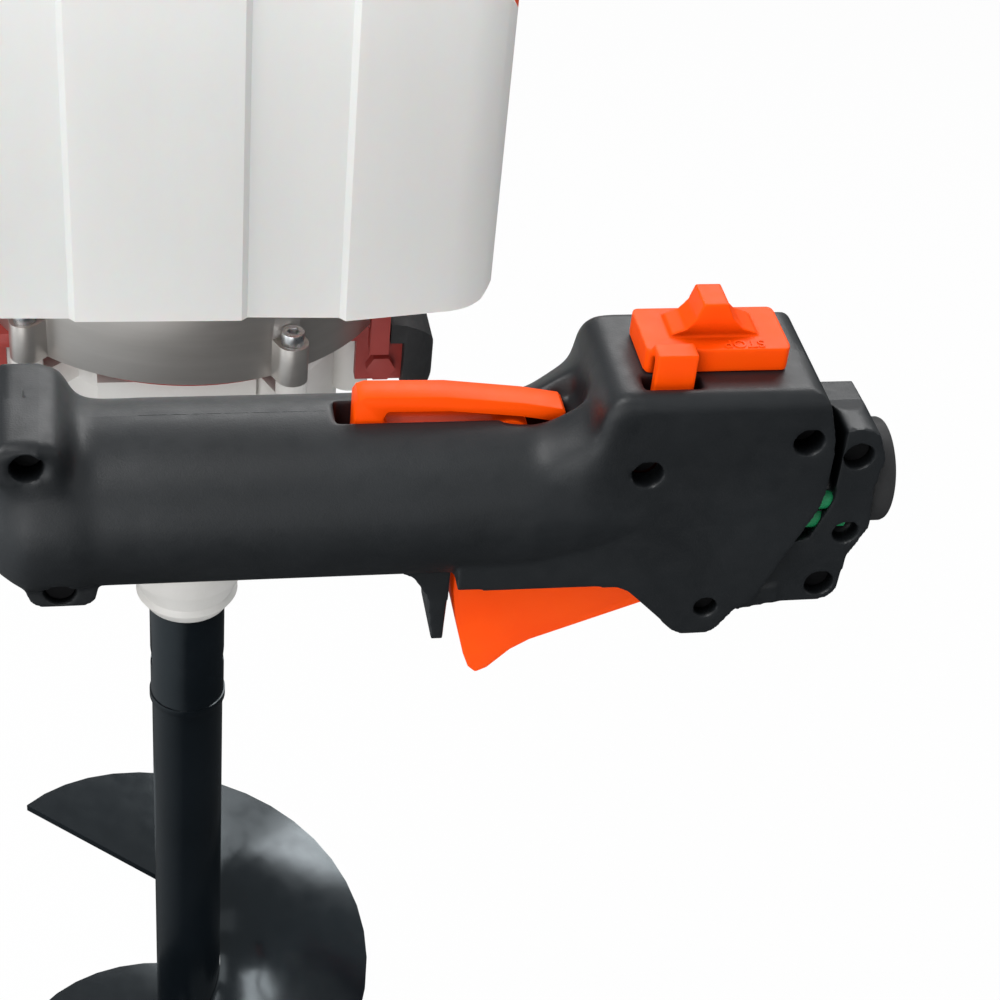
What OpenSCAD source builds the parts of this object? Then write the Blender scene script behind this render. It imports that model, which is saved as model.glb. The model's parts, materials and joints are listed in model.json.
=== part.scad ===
// Earth auger: petrol powerhead, reduction gearbox, spiral bit and throttle handle.
// Millimetres. X points away from the operator, Y to the operator's left, Z up.
// The origin is on the auger axis at the height of the two hand grips.

/* [Layout] */
// distance between the axes of the two hand grips
grip_span = 478; // [440:2:520]
// height of the grip axes above the bottom face of the clutch case
grip_height = 96.5; // [85:0.5:110]

/* [Auger bit] */
// radius of the spiral flight
flight_r = 75; // [60:1:90]
// height of one turn of the flight
flight_pitch = 127; // [110:1:150]
// number of turns of the flight
flight_turns = 4.6; // [3.6:0.1:5]
// thickness of the flight plate
flight_t = 3; // [2.5:0.5:5]
// radius of the bit tube
bit_tube_r = 13.5; // [12.5:0.1:15]
// length of the coupling collar at the top of the bit
collar_len = 49; // [42:1:54]
// bare tube between the collar and the start of the flight
bare_len = 100; // [80:1:120]
// length of the pilot point under the tube
pilot_len = 46; // [36:1:60]

/* [Gearbox] */
// gear module
gear_m = 1.5; // [1.5:0.05:1.6]
// teeth of each pinion
pinion_teeth = 9; // [9:1:10]
// teeth of each wheel
wheel_teeth = 48; // [46:1:48]
// face width of the first wheel
wheel_one_w = 11; // [9:0.5:12]
// face width of the second wheel
wheel_two_w = 15; // [12:0.5:16]
// outer radius of the round gearbox body
body_r = 50; // [46:0.5:54]
// outer radius of the nose round the output shaft
nose_r = 20.5; // [19.5:0.5:24]
// radius of the nose at its end
nose_tip_r = 14.4; // [14.2:0.1:17]
// length of the gearbox from its top face to the end of the nose
gearbox_len = 131; // [128:1:142]
// radius of the output shaft
output_r = 10; // [9:0.5:10.5]

/* [Clutch] */
// outer radius of the round clutch case
case_r = 65; // [62:0.5:70]
// height of the clutch case
case_h = 30.5; // [29:0.5:34]
// wall of the clutch case
case_wall = 5; // [4:0.5:6]
// outer radius of the clutch drum
drum_r = 40; // [36:0.5:44]
// gap between shoes and drum at rest
shoe_gap = 1.2; // [1.1:0.1:1.6]

/* [Engine] */
// outer radius of the fan cover
fan_cover_r = 63.5; // [60:0.5:65]
// height of the fan cover
fan_cover_h = 17; // [17:0.5:19]
// radius of the crankcase
crankcase_r = 36; // [34:0.5:38]
// height of the crankcase
crankcase_h = 86; // [84:1:92]
// radius of the crankshaft
crank_r = 7.5; // [7:0.25:8]
// width of the cylinder fins
fin_w = 84; // [76:1:90]
// number of cylinder fins
fin_count = 9; // [7:1:9]
// half width of the engine hood
hood_x = 95; // [92:1:98]
// depth of the starter housing above the hood
starter_h = 30; // [28:1:36]
// width of the muffler along the cylinder
muffler_w = 72; // [64:1:80]
// height of the muffler
muffler_h = 68; // [60:1:74]
// depth of the muffler
muffler_d = 34; // [28:1:36]
// width of the air filter along the cylinder
filter_w = 74; // [66:1:80]
// height of the air filter
filter_h = 76; // [68:1:80]
// depth of the air filter cover
filter_d = 24; // [18:1:30]

/* [Fuel tank] */
// half width of the tank
tank_x = 77; // [70:1:84]
// height of the tank
tank_h = 94; // [85:1:100]
// depth of the tank from front to back
tank_d = 61; // [52:1:64]
// wall of the tank
tank_wall = 2.5; // [2:0.1:3.5]
// thickness of the bracket under the tank
bracket_t = 1.5; // [1.2:0.1:2.5]

/* [Frame] */
// radius of the handlebar tube
tube_r = 13; // [12:0.25:14]
// wall of the handlebar tube
tube_wall = 2; // [1.5:0.1:2.5]
// bend radius of the handlebar
bend_r = 60; // [50:1:75]
// distance of the cross bar behind the auger axis
bar_back = 170; // [160:1:190]
// thickness of the carrier beam
beam_t = 5; // [4:0.5:6]
// height of the lips along the carrier beam
lip_h = 19.5; // [17:0.5:24]
// half width of the carrier beam
beam_y = 36; // [34:0.5:38]
// radius of the plain left grip
left_grip_r = 17; // [15.5:0.25:19]

/* [Throttle handle] */
// radius of the throttle grip
grip_r = 19; // [18.6:0.1:19.6]
// front end of the switch block
block_front = 120; // [117:0.5:122]
// height of the switch block top above the grip axis
block_top = 31.7; // [31:0.1:34]
// half depth of the switch block
block_y = 16.5; // [16:0.25:18]
// half width of the trigger
trigger_y = 5.8; // [5:0.1:6.5]
// half width of the safety lever
lever_y = 3.2; // [2.8:0.1:3.6]
// thickness of the stop switch plate
switch_t = 5.3; // [4:0.1:6.5]

/* [Hidden] */
$fn = 72;
run_gap = 0.3;
fit_gap = 0.05;
bolt_r = 3;
screw_r = 2;

hy = -grip_span / 2;
zc = -grip_height;
zg = zc - beam_t;

// gearbox heights, all measured down from the gearbox top face zg
lid_t = 10;
gear_top = zg - lid_t - 2.2;
wheel_one_z = gear_top - wheel_one_w - 0.6;
wheel_two_top = wheel_one_z - 4.4;
wheel_two_z = wheel_two_top - wheel_two_w;
box_floor = wheel_two_z - 1.6;
nose_end = zg - gearbox_len;
gear_a = gear_m * (pinion_teeth + wheel_teeth) / 2;
wheel_tip = gear_m * (wheel_teeth / 2 + 0.8);
chamber_r = wheel_tip + 1.2;
bulge_r = chamber_r + 4.5;
shaft_one_r = 5;

// bit heights
bit_top = nose_end - 1.5;
collar_end = bit_top - collar_len;
flight_top = collar_end - bare_len;
flight_h = flight_pitch * flight_turns;
tube_end = flight_top - flight_h - 6;

// engine heights
case_top = zc + case_h;
fan_top = case_top + fan_cover_h;
crank_mid = fan_top + crankcase_h / 2;
crank_top = fan_top + crankcase_h;
hood_top = crank_top + 22;
starter_top = hood_top + starter_h;
tank_z = fan_top + bracket_t + 0.2;
tank_back = -44;
tank_front = tank_back - tank_d;

// colours used when the part is viewed on its own
handle_grey = [0.2, 0.22, 0.23];
signal_orange = [1, 0.33, 0.05];
cast_grey = [0.72, 0.73, 0.74];
zinc = [0.75, 0.76, 0.78];
gloss_black = [0.05, 0.05, 0.06];
frame_red = [0.62, 0.12, 0.08];
steel = [0.55, 0.56, 0.58];
tank_white = [0.93, 0.93, 0.9];

// helpers

module along_x(x0, x1, r) {
    translate([x0, 0, 0]) rotate([0, 90, 0]) cylinder(h = x1 - x0, r = r);
}

module along_y(y0, y1, r) {
    translate([0, y0, 0]) rotate([-90, 0, 0]) cylinder(h = y1 - y0, r = r);
}

module up(z0, z1, r) {
    translate([0, 0, z0]) cylinder(h = z1 - z0, r = r);
}

module box(x0, x1, y0, y1, z0, z1) {
    translate([x0, y0, z0]) cube([x1 - x0, y1 - y0, z1 - z0]);
}

// rounded rectangle between two corners
module round_rect(x0, x1, y0, y1, r) {
    translate([x0 + r, y0]) square([x1 - x0 - 2 * r, y1 - y0]);
    translate([x0, y0 + r]) square([x1 - x0, y1 - y0 - 2 * r]);
    for (x = [x0 + r, x1 - r])
        for (y = [y0 + r, y1 - r])
            translate([x, y]) circle(r);
}

// outlines with rounded corners: each point is X, Y and the radius of its corner
corner_steps = 6;
function unit(v) = v / norm(v);
function corner(a, b, c) = let (
    p = [b[0], b[1]],
    u = unit([a[0], a[1]] - p),
    v = unit([c[0], c[1]] - p),
    half = acos(max(-1, min(1, u * v))) / 2,
    mid = p + unit(u + v) * b[2] / sin(half),
    first = p + u * b[2] / tan(half) - mid,
    last = p + v * b[2] / tan(half) - mid,
    start = atan2(first[1], first[0]),
    turn = atan2(last[1], last[0]) - start,
    sweep = turn > 180 ? turn - 360 : turn < -180 ? turn + 360 : turn)
    [for (k = [0 : corner_steps]) let (at = start + sweep * k / corner_steps) mid + b[2] * [cos(at), sin(at)]];
function rounded(points) = let (n = len(points))
    [for (i = [0 : n - 1]) let (b = points[i])
        each b[2] == 0 ? [[b[0], b[1]]] : corner(points[(i + n - 1) % n], b, points[(i + 1) % n])];

// outline in X and Z pushed through from y0 to y1
module through_y(y0, y1) {
    translate([0, y1, 0]) rotate([90, 0, 0]) linear_extrude(y1 - y0) children();
}

// outline in Y and Z pushed along from x0 to x1
module through_x(x0, x1) {
    translate([x0, 0, 0]) rotate([90, 0, 90]) linear_extrude(x1 - x0) children();
}

module through_z(z0, z1) {
    translate([0, 0, z0]) linear_extrude(z1 - z0) children();
}

// gears: involute teeth with a small backlash
pressure = 25;
backlash = 0.14;
function inv(a) = tan(a) * 180 / PI - a;
function half_tooth(r, rp, rb, n) = 90 / n - backlash / rp * 180 / PI + inv(pressure) - inv(acos(min(1, rb / r)));
function gear_points(n) = let (
    rp = gear_m * n / 2,
    rb = rp * cos(pressure),
    tip = rp + 0.8 * gear_m,
    root = rp - 1.05 * gear_m,
    low = max(rb, root),
    steps = 4)
    [for (k = [0 : n - 1]) let (mid = 360 * k / n)
        each concat(
            [let (a = mid - half_tooth(low, rp, rb, n)) [root * cos(a), root * sin(a)]],
            [for (s = [0 : steps]) let (r = low + (tip - low) * s / steps, a = mid - half_tooth(r, rp, rb, n))
                [r * cos(a), r * sin(a)]],
            [for (s = [steps : -1 : 0]) let (r = low + (tip - low) * s / steps, a = mid + half_tooth(r, rp, rb, n))
                [r * cos(a), r * sin(a)]],
            [let (a = mid + half_tooth(low, rp, rb, n)) [root * cos(a), root * sin(a)]])];

module gear(n, z0, z1, turn) {
    through_z(z0, z1) rotate(turn) polygon(gear_points(n));
}

module at_counter() {
    translate([0, gear_a, 0]) children();
}

// turn that puts a tooth of a gear at the wanted angle
function tooth_at(n, angle) = angle - 360 / n * floor(angle * n / 360);
function gap_at(n, angle) = tooth_at(n, angle) + 180 / n;

// auger bit

// the flight is a thin helicoid; its first edge runs slantwise and its outer tip is lifted
flight_in = bit_tube_r - 0.28;
flight_steps = 40;
flight_start = 148.5;
flight_rows = [0, 0.14, 0.35, 0.62, 1];
lead_in = 0.24;
tip_lift = 3.3;
tip_turn = 0.15;
function flight_angle(t) = flight_start - 360 * t;
function flight_edge(r, t) = [r * cos(flight_angle(t)), r * sin(flight_angle(t)), flight_top - flight_pitch * t];
function flight_point(t, share, drop) = let (
    inner = flight_edge(flight_in, max(t, lead_in)),
    lift = [0, 0, tip_lift * max(0, 1 - t / tip_turn)],
    outer = flight_edge(flight_r, t) + lift)
    inner + share * (outer - inner) - [0, 0, drop];
module auger_flight() {
    count = ceil(flight_turns * flight_steps);
    rows = len(flight_rows);
    around = 2 * rows;
    points = [for (i = [0 : count]) let (t = flight_turns * i / count)
        each concat(
            [for (k = [0 : rows - 1]) flight_point(t, flight_rows[k], 0)],
            [for (k = [rows - 1 : -1 : 0]) flight_point(t, flight_rows[k], flight_t)])];
    sides = [for (i = [0 : count - 1])
        for (k = [0 : around - 1]) let (a = around * i + k, b = around * i + (k + 1) % around)
            each [[a, b, b + around], [a, b + around, a + around]]];
    last = around * count;
    ends = [for (k = [0 : rows - 2]) let (p = around - 1 - k)
        each [[k, p, p - 1], [k, p - 1, k + 1], [last + k, last + k + 1, last + p - 1], [last + k, last + p - 1, last + p]]];
    color(gloss_black) polyhedron(points = points, faces = concat(sides, ends), convexity = 20);
}

pin_z = collar_end + 20;
pin_r = 4;
module auger_tube() {
    color(gloss_black) difference() {
        up(tube_end, collar_end, bit_tube_r - 0.4);
        up(tube_end + 14, collar_end + 1, bit_tube_r - 3.2);
    }
}

module auger_collar() {
    color(gloss_black) difference() {
        union() {
            up(collar_end, bit_top, bit_tube_r);
            up(collar_end, collar_end + 3, bit_tube_r + 0.5);
        }
        up(collar_end - 1, bit_top + 1, output_r + fit_gap);
        translate([0, 0, pin_z]) along_x(-30, 30, pin_r + fit_gap);
    }
}

module drive_pin() {
    color(zinc) translate([0, 0, pin_z]) along_x(-bit_tube_r + 0.6, bit_tube_r - 0.6, pin_r);
}

module pilot_point() {
    base = tube_end - 0.1;
    color(steel) {
        up(base - 8, base, bit_tube_r - 0.5);
        for (turn = [0, 180])
            rotate(turn) translate([0, 2.5, base - 8]) rotate([90, 0, 0]) linear_extrude(5)
                polygon([[0, 0.5], [bit_tube_r - 1, 0.5], [bit_tube_r - 2.5, -10], [6, -14], [0, -pilot_len + 8]]);
    }
}

// the blades are bolted under the end of the flight and under the opposite arm
blade_turn = flight_angle(flight_turns);
blade_z = flight_top - flight_h - flight_t - 0.6;
blade_t = 5;
module blade_outline() {
    polygon([[bit_tube_r + 4, -4], [flight_r - 4, -4], [flight_r + 1, -22], [flight_r - 12, -16],
        [bit_tube_r + 24, -20], [bit_tube_r + 4, -14]]);
}
module cutting_blades() {
    color(steel) rotate(blade_turn) difference() {
        union() {
            through_z(blade_z - blade_t, blade_z) blade_outline();
            box(bit_tube_r - 0.2, bit_tube_r + 16, -9, -4, blade_z - blade_t, blade_z);
        }
        for (x = [bit_tube_r + 18, bit_tube_r + 40])
            translate([x, -9, blade_z - 20]) cylinder(h = 40, r = bolt_r + 0.1);
    }
}

module blade_bolts() {
    color(zinc) rotate(blade_turn) for (x = [bit_tube_r + 18, bit_tube_r + 40])
        translate([x, -9, 0]) {
            up(blade_z - blade_t - 4, blade_z + 0.4, bolt_r);
            translate([0, 0, blade_z - blade_t - 4.2]) cylinder(h = 4.2, r = 5.5, $fn = 6);
        }
}

// gearbox

bearing_low = nose_end + 16;
module output_shaft() {
    color(steel) difference() {
        union() {
            up(collar_end + 3, wheel_two_z, output_r);
            up(wheel_two_z, wheel_two_top + 1.2, output_r - 1);
        }
        translate([0, 0, pin_z]) along_x(-30, 30, pin_r + fit_gap);
    }
}

module output_wheel() {
    color(steel) difference() {
        gear(wheel_teeth, wheel_two_z, wheel_two_top, gap_at(wheel_teeth, 90));
        up(wheel_two_z - 1, wheel_two_top + 1, output_r - 1 + fit_gap / 5);
        for (k = [0 : 5]) rotate(60 * k) translate([wheel_tip * 0.56, 0, 0]) up(wheel_two_z - 1, wheel_two_top + 1, 6);
    }
}

module countershaft() {
    color(steel) at_counter() {
        difference() {
            gear(wheel_teeth, wheel_one_z, gear_top - 0.6, gap_at(wheel_teeth, 270));
            for (k = [0 : 5]) rotate(60 * k) translate([wheel_tip * 0.56, 0, 0]) up(wheel_one_z - 1, gear_top, 6);
        }
        gear(pinion_teeth, wheel_two_z + 0.2, wheel_one_z, tooth_at(pinion_teeth, 270));
        up(box_floor - 7, zg - 2.8, shaft_one_r);
    }
}

module body_plan(extra) {
    circle(body_r + extra);
    translate([0, gear_a]) circle(bulge_r + extra);
    side = bulge_r + extra - 0.5;
    translate([-side, 0]) square([2 * side, gear_a]);
}

lug_angles = [-15, 15, 165, 195];
lug_out = body_r + 4;
back_lugs = [23, 90, 157];
module lid_bolt_spots() {
    for (a = lug_angles) rotate(a) translate([lug_out, 0, 0]) children();
    at_counter() for (a = back_lugs) rotate(a) translate([bulge_r + 3.5, 0, 0]) children();
}

shoulder_z = box_floor - 14;
// flat pad on the front of the gearbox
pad_x0 = -29;
pad_x1 = 18.7;
pad_out = body_r + 4;
// bore of the nose for the lower bearing and the seal
nose_bore = 13.2;
module gearbox_housing() {
    color(tank_white) difference() {
        union() {
            through_z(box_floor - 4, zg - lid_t) body_plan(0);
            translate([0, 0, shoulder_z - 26]) cylinder(h = 26 + box_floor - 4 - shoulder_z, r1 = nose_r + 6, r2 = body_r);
            translate([0, 0, shoulder_z - 26]) at_counter_cone();
            up(nose_end + 14, shoulder_z - 20, nose_r);
            translate([0, 0, nose_end]) rotate_extrude() nose_profile();
            for (k = [0 : 7]) rotate(45 * k + 22.5)
                through_y(-2, 2) polygon([[0, shoulder_z - 44], [nose_r + 1, shoulder_z - 44],
                    [body_r - 6, box_floor - 2], [body_r - 6, box_floor + 2], [0, box_floor + 2]]);
            lid_bolt_spots() up(zg - lid_t - 20, zg - lid_t, 6.5);
            box(pad_x0, pad_x1, -pad_out, 0, box_floor + 6, zg - lid_t);
        }
        up(box_floor, zg - lid_t + 1, chamber_r);
        at_counter() up(box_floor, zg - lid_t + 1, chamber_r);
        // seats of the output bearings and of the seal
        up(box_floor - 12, box_floor + 1, 22);
        up(nose_end - 1, box_floor, output_r + 1);
        up(nose_end - 1, bearing_low + 9, nose_bore);
        at_counter() up(box_floor - 7.2, box_floor + 1, 11);
        lid_bolt_spots() up(zg - lid_t - 16, zg - lid_t + 1, bolt_r - 0.4);
    }
}

module at_counter_cone() {
    translate([0, gear_a * 0.55, 0])
        cylinder(h = 26 + box_floor - 4 - shoulder_z, r1 = 14, r2 = bulge_r * 0.9);
}

module nose_profile() {
    polygon([[0, 0], [nose_tip_r, 0], [nose_tip_r + 1, 0.6], [nose_r - 0.7, 11.5], [nose_r, 13.5], [nose_r, 15], [0, 15]]);
}

module gearbox_lid() {
    color(tank_white) difference() {
        union() {
            through_z(zg - lid_t, zg) body_plan(2);
            up(zg - 1, zc, 42);
            for (a = flange_angles) rotate(a) {
                translate([flange_bolt_r, 0, 0]) up(zg - lid_t + 1, zc, flange_boss_r);
                box(body_r - 3, flange_bolt_r, -flange_boss_r + 0.8, flange_boss_r - 0.8, zg - lid_t + 1, zg - 0.6);
            }
            lid_bolt_spots() up(zg - lid_t, zg - 2, 6.5);
            box(pad_x0, pad_x1, -pad_out, 0, zg - lid_t, zg - 1.2);
        }
        up(zg - lid_t - 1, zc - 1.5, 16);
        up(zg - lid_t - 1, zc + 1, 11);
        at_counter() up(zg - lid_t - 1, zg - 2.6, 11);
        lid_bolt_spots() up(zg - lid_t - 1, zg, bolt_r + 0.2);
        lid_bolt_spots() up(zg - 2, zg + 1, 5.4);
        flange_spots() up(zg - lid_t + 3, zc + 1, flange_screw_r + fit_gap);
    }
}

// bolts that hold the clutch case on the gearbox
flange_angles = [-136, -65.5, 65.5, 136];
flange_bolt_r = case_r + 3.8;
flange_boss_r = 4.8;
flange_screw_r = 2.4;
flange_lug_h = 13;
module flange_spots() {
    for (a = flange_angles) rotate(a) translate([flange_bolt_r, 0, 0]) children();
}

module gearbox_bolts() {
    color(zinc) lid_bolt_spots() {
        up(zg - lid_t - 14, zg - 1.9, bolt_r - 0.5);
        up(zg - 1.95, zg + 2, 5);
    }
}

module ring(z0, z1, r_out, r_in) {
    difference() {
        up(z0, z1, r_out);
        up(z0 - 1, z1 + 1, r_in);
    }
}

module gearbox_bearings() {
    color(steel) {
        ring(zg - lid_t + 0.2, zc - 1.6, 15.95, 7.55);
        at_counter() {
            ring(zg - lid_t + 0.2, zg - 2.7, 10.95, shaft_one_r + fit_gap);
            ring(box_floor - 7.1, box_floor - 0.2, 10.95, shaft_one_r + fit_gap);
        }
        ring(box_floor - 11.9, box_floor - 0.2, 21.95, output_r + fit_gap);
        ring(bearing_low, bearing_low + 8.9, nose_bore - fit_gap, output_r + fit_gap);
    }
}

module oil_seal() {
    color(gloss_black) ring(nose_end + 1, bearing_low - 0.5, nose_bore - fit_gap, output_r + fit_gap);
}

// clutch

drum_z = zc + 2.5;
drum_top = zc + 23.5;
shoe_z = drum_z + 5;
module clutch_drum() {
    color(steel) {
        difference() {
            up(drum_z, drum_top, drum_r);
            up(drum_z + 3, drum_top + 1, drum_r - 3);
            for (k = [0 : 4]) rotate(72 * k) translate([drum_r * 0.62, 0, 0]) up(drum_z - 1, drum_z + 4, 5);
        }
        up(gear_top + 2, drum_z + 1, 7.5);
        gear(pinion_teeth, wheel_one_z + 0.2, gear_top + 2, tooth_at(pinion_teeth, 90));
    }
}

case_lugs = [0, 90, 180];
cover_lug_t = 5;
case_lug_r = max(case_r + 6.2, fan_cover_r + 7.7);
module case_spots() {
    for (a = case_lugs) rotate(a) translate([case_lug_r, 0, 0]) children();
}

module clutch_case() {
    color(cast_grey) difference() {
        union() {
            up(zc, case_top, case_r);
            case_spots() up(case_top - 12, case_top, 7.5);
            for (a = case_lugs) rotate(a) box(case_r - 3, case_lug_r, -7.5, 7.5, case_top - 12, case_top);
            flange_spots() up(zc, zc + flange_lug_h, flange_boss_r);
            for (a = flange_angles) rotate(a)
                box(case_r - 3, flange_bolt_r, -flange_boss_r, flange_boss_r, zc, zc + flange_lug_h);
        }
        up(zc - 1, case_top - 4.5, case_r - case_wall);
        up(zc - 1, case_top + 1, 24);
        case_spots() up(case_top - 13, case_top + 1, bolt_r + 0.2);
        flange_spots() up(zc - 1, zc + flange_lug_h + 1, flange_screw_r + 0.2);
    }
}

module case_bolts() {
    color(zinc) {
        case_spots() {
            up(case_top - 18, case_top + cover_lug_t + 0.05, bolt_r);
            translate([0, 0, case_top + cover_lug_t]) cylinder(h = 4.5, r = 5.5, $fn = 6);
            translate([0, 0, case_top - 17]) cylinder(h = 5, r = 5.5, $fn = 6);
        }
        flange_spots() {
            up(zg - lid_t + 3.2, zc + flange_lug_h + 0.05, flange_screw_r);
            difference() {
                up(zc + flange_lug_h, zc + flange_lug_h + 4, 3.4);
                translate([0, 0, zc + flange_lug_h + 2]) cylinder(h = 3, r = 1.9, $fn = 6);
            }
        }
    }
}

hub_r = 17;
module clutch_hub() {
    color(steel) difference() {
        union() {
            up(shoe_z, drum_top + 2, hub_r);
            box(-(drum_r - 8), drum_r - 8, -5, 5, shoe_z, drum_top - 2);
        }
        up(shoe_z - 1, drum_top + 3, crank_r + fit_gap / 5);
    }
}

module shoe(turn) {
    color(cast_grey) rotate(turn) intersection() {
        ring(shoe_z, drum_top - 1.5, drum_r - 3 - shoe_gap, hub_r + 1);
        box(-drum_r, drum_r, 6, drum_r, shoe_z, drum_top);
    }
}

module shoe_front() {
    shoe(180);
}

module shoe_back() {
    shoe(0);
}

fly_r = fan_cover_r - 9;
fly_z = case_top + 2.5;
module flywheel() {
    color(cast_grey) difference() {
        union() {
            up(fly_z, fly_z + 4, fly_r);
            up(case_top - 5, fan_top - 4, 14);
            for (k = [0 : 15]) rotate(22.5 * k) translate([fly_r - 20, 0, 0]) rotate(25)
                box(0, 19, -1.1, 1.1, fly_z + 3, fan_top - 5.2);
        }
        up(case_top - 6, fan_top, crank_r + fit_gap / 5);
    }
}

// engine

module fan_cover() {
    color(signal_orange) difference() {
        union() {
            up(case_top, fan_top, fan_cover_r);
            case_spots() up(case_top, case_top + cover_lug_t, 7.5);
            for (a = case_lugs) rotate(a) box(fan_cover_r - 3, case_lug_r, -7.5, 7.5, case_top, case_top + cover_lug_t);
        }
        up(case_top - 1, fan_top - 3, fan_cover_r - 3.5);
        up(case_top - 1, fan_top + 1, 17);
        box(-30, 30, 40, 80, case_top + cover_lug_t + 1, fan_top - 3);
        for (k = [-3 : 3]) rotate(-90 + 16 * k) box(44, 56, -2, 2, fan_top - 4, fan_top + 1);
        case_spots() up(case_top - 1, case_top + 9, bolt_r + 0.2);
    }
}

module crankshaft() {
    color(steel) {
        up(shoe_z - 1, hood_top + 1, crank_r);
        up(hood_top - 1, hood_top + 3, 18);
        for (turn = [0, 180]) rotate(turn) box(10, 17, -4, 4, hood_top + 2, hood_top + 10);
    }
}

bearing_r = 16;
pad_y = -41;
module crankcase() {
    color(cast_grey) difference() {
        union() {
            up(fan_top, crank_top, crankcase_r);
            up(fan_top, fan_top + 6, crankcase_r + 5);
            up(crank_mid - 3, crank_mid + 3, crankcase_r + 4);
            up(crank_top - 6, crank_top, crankcase_r + 5);
            box(-30, 30, pad_y, 0, crank_mid - 20, crank_mid + 20);
            box(-33, 33, 0, crankcase_r + 6, crank_mid - 33, crank_mid + 33);
            for (turn = [45, 135, 225, 315])
                rotate(turn) box(crankcase_r - 4, crankcase_r + 4.5, -3, 3, fan_top + 4, crank_top - 4);
        }
        up(fan_top - 1, crank_top + 1, crank_r + 1);
        up(fan_top - 1, fan_top + 9.2, bearing_r);
        up(crank_top - 9.2, crank_top + 1, bearing_r);
        for (x = [-26, 26])
            for (z = [-26, 26])
                translate([x, 0, crank_mid + z]) along_y(crankcase_r - 4, crankcase_r + 7, bolt_r - 0.4);
    }
}

module crank_bearings() {
    color(steel) {
        ring(fan_top + 0.2, fan_top + 9.1, bearing_r - fit_gap, crank_r + fit_gap);
        ring(crank_top - 9.1, crank_top - 0.2, bearing_r - fit_gap, crank_r + fit_gap);
    }
}

base_y = crankcase_r + 6;
fin_pitch = 6.4;
fin_y0 = base_y + 12;
fin_end = fin_y0 + fin_count * fin_pitch;
module cylinder_fin(y) {
    intersection() {
        translate([0, y, crank_mid]) through_y(0, 2.2) round_rect(-fin_w / 2, fin_w / 2, -fin_w / 2 + 4, fin_w / 2 - 4, 10);
        translate([0, 0, crank_mid]) along_y(y - 1, y + 4, fin_w * 0.58);
    }
}

module engine_barrel() {
    color(cast_grey) difference() {
        union() {
            translate([0, 0, crank_mid]) along_y(base_y, fin_end, 28);
            translate([0, base_y, crank_mid]) through_y(0, 6) round_rect(-33, 33, -33, 33, 7);
            for (k = [0 : fin_count - 1]) cylinder_fin(fin_y0 + k * fin_pitch);
            translate([0, 0, crank_mid]) along_y(fin_end - 2, fin_end + 7, 20);
            // exhaust and inlet ports
            translate([0, fin_y0 + 12, crank_mid]) along_x(0, 46, 15);
            translate([0, fin_y0 + 12, crank_mid]) along_x(-46, 0, 15);
        }
        translate([0, 0, crank_mid]) along_y(fin_end - 6, fin_end + 8, 6);
        for (x = [-26, 26])
            for (z = [-26, 26])
                translate([x, 0, crank_mid + z]) along_y(base_y - 1, base_y + 7, bolt_r + 0.2);
        translate([0, fin_y0 + 12, crank_mid]) along_x(34, 47, 9);
        translate([0, fin_y0 + 12, crank_mid]) along_x(-47, -34, 9);
    }
}

module cylinder_bolts() {
    color(zinc) for (x = [-26, 26])
        for (z = [-26, 26])
            translate([x, 0, crank_mid + z]) {
                along_y(base_y - 9, base_y + 6.1, bolt_r - 0.5);
                along_y(base_y + 6.05, base_y + 10, 4.6);
            }
}

plug_y = fin_end + 7;
module spark_plug() {
    color(zinc) translate([0, 0, crank_mid]) {
        along_y(plug_y - 12, plug_y + 0.1, 5.9);
        translate([0, plug_y + 0.05, 0]) rotate([-90, 0, 0]) cylinder(h = 9, r = 9.2, $fn = 6);
        along_y(plug_y + 9, plug_y + 20, 5);
    }
}

module plug_cap() {
    color(gloss_black) translate([0, 0, crank_mid]) difference() {
        union() {
            along_y(plug_y + 9.3, plug_y + 27, 8.5);
            translate([0, plug_y + 19, 0]) along_x(-20, 0, 7);
        }
        along_y(plug_y + 9, plug_y + 20.2, 5.05);
    }
}

module ignition_coil() {
    color(gloss_black) {
        box(-60, -46, -14, 14, fan_top, fan_top + 22);
        box(-58, -44, -20, 20, fan_top, fan_top + 8);
    }
}

port_y = fin_y0 + 12;
muffler_x = 46;
module muffler() {
    shell = 2;
    outer_x = muffler_x + 4;
    mid_y = port_y + 8;
    color(steel) difference() {
        union() {
            translate([outer_x, mid_y, crank_mid]) through_x(0, muffler_d)
                round_rect(-muffler_w / 2, muffler_w / 2, -muffler_h / 2, muffler_h / 2, 10);
            translate([0, port_y, crank_mid]) along_x(muffler_x + 0.05, muffler_x + 5, 17);
            translate([0, mid_y + 16, crank_mid - 18]) along_x(outer_x + muffler_d - 4, outer_x + muffler_d + 8, 6);
        }
        translate([0, port_y, crank_mid]) along_x(muffler_x - 1, muffler_x + 12, 9);
        translate([outer_x + shell, mid_y, crank_mid]) through_x(0, muffler_d - 2 * shell)
            round_rect(-muffler_w / 2 + shell, muffler_w / 2 - shell, -muffler_h / 2 + shell, muffler_h / 2 - shell, 8);
        translate([0, mid_y + 16, crank_mid - 18]) along_x(outer_x + muffler_d - 3, outer_x + muffler_d + 9, 4.6);
        for (k = [-2 : 2]) translate([outer_x + muffler_d - 1, mid_y + 9 * k, crank_mid + 8])
            through_x(0, 3) round_rect(-2, 2, -12, 16, 1.5);
    }
}

carb_x = -46.05;
module carburettor() {
    color(cast_grey) difference() {
        union() {
            translate([0, port_y, crank_mid]) along_x(carb_x - 12, carb_x, 17);
            translate([carb_x - 36, port_y, crank_mid]) through_x(0, 26) round_rect(-19, 19, -21, 19, 4);
            translate([carb_x - 24, port_y, 0]) up(crank_mid + 18, crank_mid + 27, 7);
        }
        translate([0, port_y, crank_mid]) along_x(carb_x - 40, carb_x + 1, 8.5);
        translate(bulb_at) up(-1, 3.8, 11.4);
    }
}

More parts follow.
